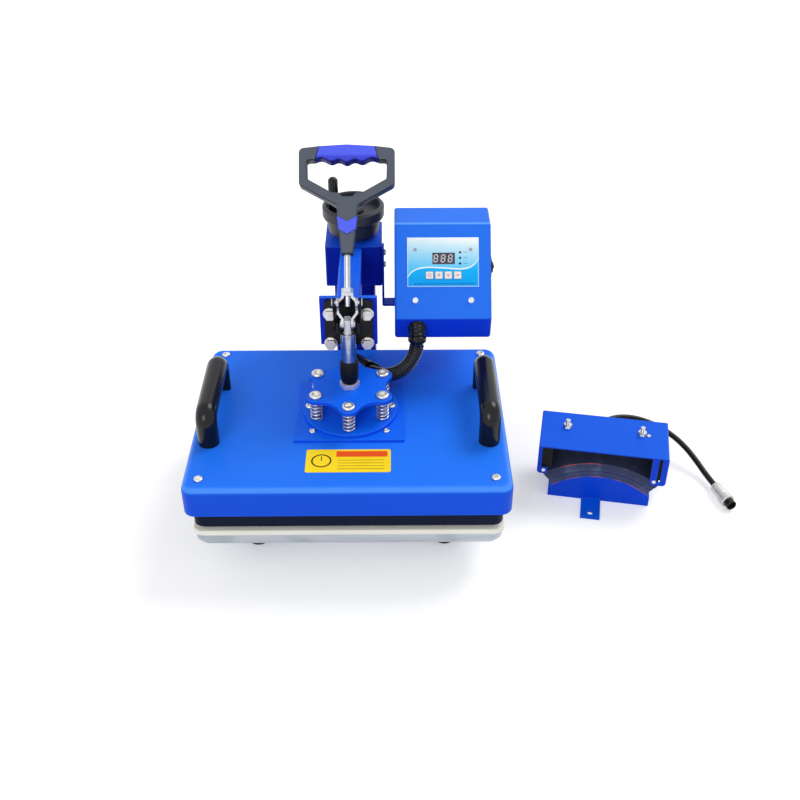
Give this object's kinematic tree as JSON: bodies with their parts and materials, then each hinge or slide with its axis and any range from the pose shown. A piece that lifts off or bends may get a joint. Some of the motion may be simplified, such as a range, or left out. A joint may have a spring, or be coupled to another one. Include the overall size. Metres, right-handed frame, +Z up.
{
  "type": "swing-away heat press with cap attachment",
  "caption": "Swing-away bench heat press with lever toggle, sprung flat platen, control box, and a separate curved cap-pressing head and form on a cord.",
  "frame": {"origin": "centre of the top face of the silicone pad, under the pressing axis", "axes": "+Z up along the pressing axis, -Y to the front where the operator stands, +X to the right as the operator sees it"},
  "size_m": [0.7168, 0.404, 0.4557],
  "materials": {
    "blue_paint": "gloss powder coat",
    "black_paint": "satin powder coat",
    "dark_coating": "non-stick coating",
    "aluminium": "satin",
    "bright_steel": "bright plated",
    "dull_steel": "zinc plated",
    "black_plastic": "gloss",
    "matt_black_plastic": "matt",
    "grey_plastic": "matt",
    "blue_rubber": "soft touch",
    "black_rubber": "matt",
    "cream_silicone": "matt",
    "grey_silicone": "matt",
    "blanket": "felt",
    "panel_print": "printed overlay",
    "display": "smoked",
    "key_white": "satin",
    "board": "solder mask"
  },
  "bodies": {
    "base": {"base_skids": "blue_paint", "base_crossbars": "blue_paint", "rubber_feet": "black_rubber", "column": "blue_paint", "base_bolts": "dull_steel", "lower_platen": "aluminium", "silicone_pad": "cream_silicone"},
    "lift": {"thrust_collar": "dull_steel"},
    "handwheel": {"handwheel": "matt_black_plastic", "adjusting_screw": "dull_steel"},
    "crank_peg": {"crank_peg": "matt_black_plastic"},
    "swing_arm": {"swing_sleeve": "blue_paint", "arm_tube": "blue_paint", "toggle_body": "black_paint", "guide_barrel": "bright_steel", "toggle_bolts": "bright_steel", "box_bracket": "blue_paint", "box_shell": "blue_paint", "box_rear": "blue_paint", "box_screws": "bright_steel", "panel_overlay": "panel_print", "display_parts": "display", "circuit_board": "board", "conduit_gland": "matt_black_plastic", "conduit": "matt_black_plastic", "rear_sockets": "matt_black_plastic", "switch_housing": "matt_black_plastic"},
    "panel_key_1": {"panel_key_1": "key_white"},
    "panel_key_2": {"panel_key_2": "key_white"},
    "panel_key_3": {"panel_key_3": "key_white"},
    "panel_key_4": {"panel_key_4": "key_white"},
    "power_rocker": {"power_rocker": "matt_black_plastic"},
    "plunger": {"plunger_rod": "bright_steel", "coupler": "black_paint", "star_plate": "blue_paint"},
    "lever": {"lever_fork": "bright_steel", "lever_rod": "bright_steel", "grip_frame": "grey_plastic", "soft_grip": "blue_rubber"},
    "toggle_link": {"toggle_links": "bright_steel"},
    "platen": {"heat_platen": "dark_coating", "heating_element": "dull_steel", "insulation": "blanket", "top_cover": "blue_paint", "square_plate": "blue_paint", "spring_disc": "blue_paint", "platen_screws": "bright_steel", "star_bolts": "bright_steel", "press_springs": "bright_steel", "side_handles": "black_plastic", "conduit_elbow": "matt_black_plastic"},
    "cap_form": {"form_body": "blue_paint", "form_pad": "grey_silicone"},
    "cap_head": {"cap_heater": "grey_silicone", "cap_backing": "grey_silicone", "cap_studs": "bright_steel", "cap_bracket": "blue_paint", "cap_cord": "black_rubber", "cap_connector": "bright_steel"}
  },
  "joints": [
    {"name": "arm_height", "type": "slide", "parent": "base", "child": "lift", "axis": [0, 0, 1], "range_m": [0, 0.01]},
    {"name": "arm_swing", "type": "hinge", "parent": "lift", "child": "swing_arm", "pos_m": [0.003, 0.198, 0.2], "axis": [0, 0, 1], "range_deg": [-110, 0]},
    {"name": "handwheel_turn", "type": "hinge", "parent": "lift", "child": "handwheel", "pos_m": [0.003, 0.198, 0.25], "axis": [0, 0, 1], "range_deg": [0, 1800]},
    {"name": "crank_peg_spin", "type": "hinge", "parent": "handwheel", "child": "crank_peg", "pos_m": [-0.023, 0.198, 0.28], "axis": [0, 0, 1], "continuous": true},
    {"name": "platen_press", "type": "slide", "parent": "swing_arm", "child": "platen", "axis": [0, 0, -1], "range_m": [0, 0.0019]},
    {"name": "plunger_press", "type": "slide", "parent": "swing_arm", "child": "plunger", "axis": [0, 0, -1], "range_m": [0, 0.0057], "deforming": ["press_springs"]},
    {"name": "lever_pull", "type": "hinge", "parent": "plunger", "child": "lever", "pos_m": [0, 0, 0.207], "axis": [1, 0, 0], "range_deg": [0, 90]},
    {"name": "link_turn", "type": "hinge", "parent": "swing_arm", "child": "toggle_link", "pos_m": [0, 0.008, 0.199], "axis": [1, 0, 0], "range_deg": [0, 75]},
    {"name": "key_1_press", "type": "slide", "parent": "swing_arm", "child": "panel_key_1", "axis": [0, 0.7837, -0.6211], "range_m": [0, 0.0008], "stiffness_N_per_m": 400},
    {"name": "key_2_press", "type": "slide", "parent": "swing_arm", "child": "panel_key_2", "axis": [0, 0.7837, -0.6211], "range_m": [0, 0.0008], "stiffness_N_per_m": 400},
    {"name": "key_3_press", "type": "slide", "parent": "swing_arm", "child": "panel_key_3", "axis": [0, 0.7837, -0.6211], "range_m": [0, 0.0008], "stiffness_N_per_m": 400},
    {"name": "key_4_press", "type": "slide", "parent": "swing_arm", "child": "panel_key_4", "axis": [0, 0.7837, -0.6211], "range_m": [0, 0.0008], "stiffness_N_per_m": 400},
    {"name": "power_rock", "type": "hinge", "parent": "swing_arm", "child": "power_rocker", "pos_m": [0.18065, 0.12595, 0.21615], "axis": [0, -1, 0], "range_deg": [0, 18]},
    {"name": "cap_form_lift", "type": "slide", "parent": "base", "child": "cap_form", "axis": [0, 0, 1], "range_m": [0, 0.3]},
    {"name": "cap_head_lift", "type": "slide", "parent": "cap_form", "child": "cap_head", "axis": [0, 0, 1], "range_m": [0, 0.3]}
  ],
  "couplings": [
    {"joint": "handwheel_turn", "follows": "arm_height", "rad_per_m": 3141.6},
    {"joint": "plunger_press", "follows": "platen_press", "ratio": 2.98},
    {"joint": "lever_pull", "follows": "platen_press", "rad_per_m": 826.7},
    {"joint": "link_turn", "follows": "platen_press", "rad_per_m": 687.8}
  ]
}
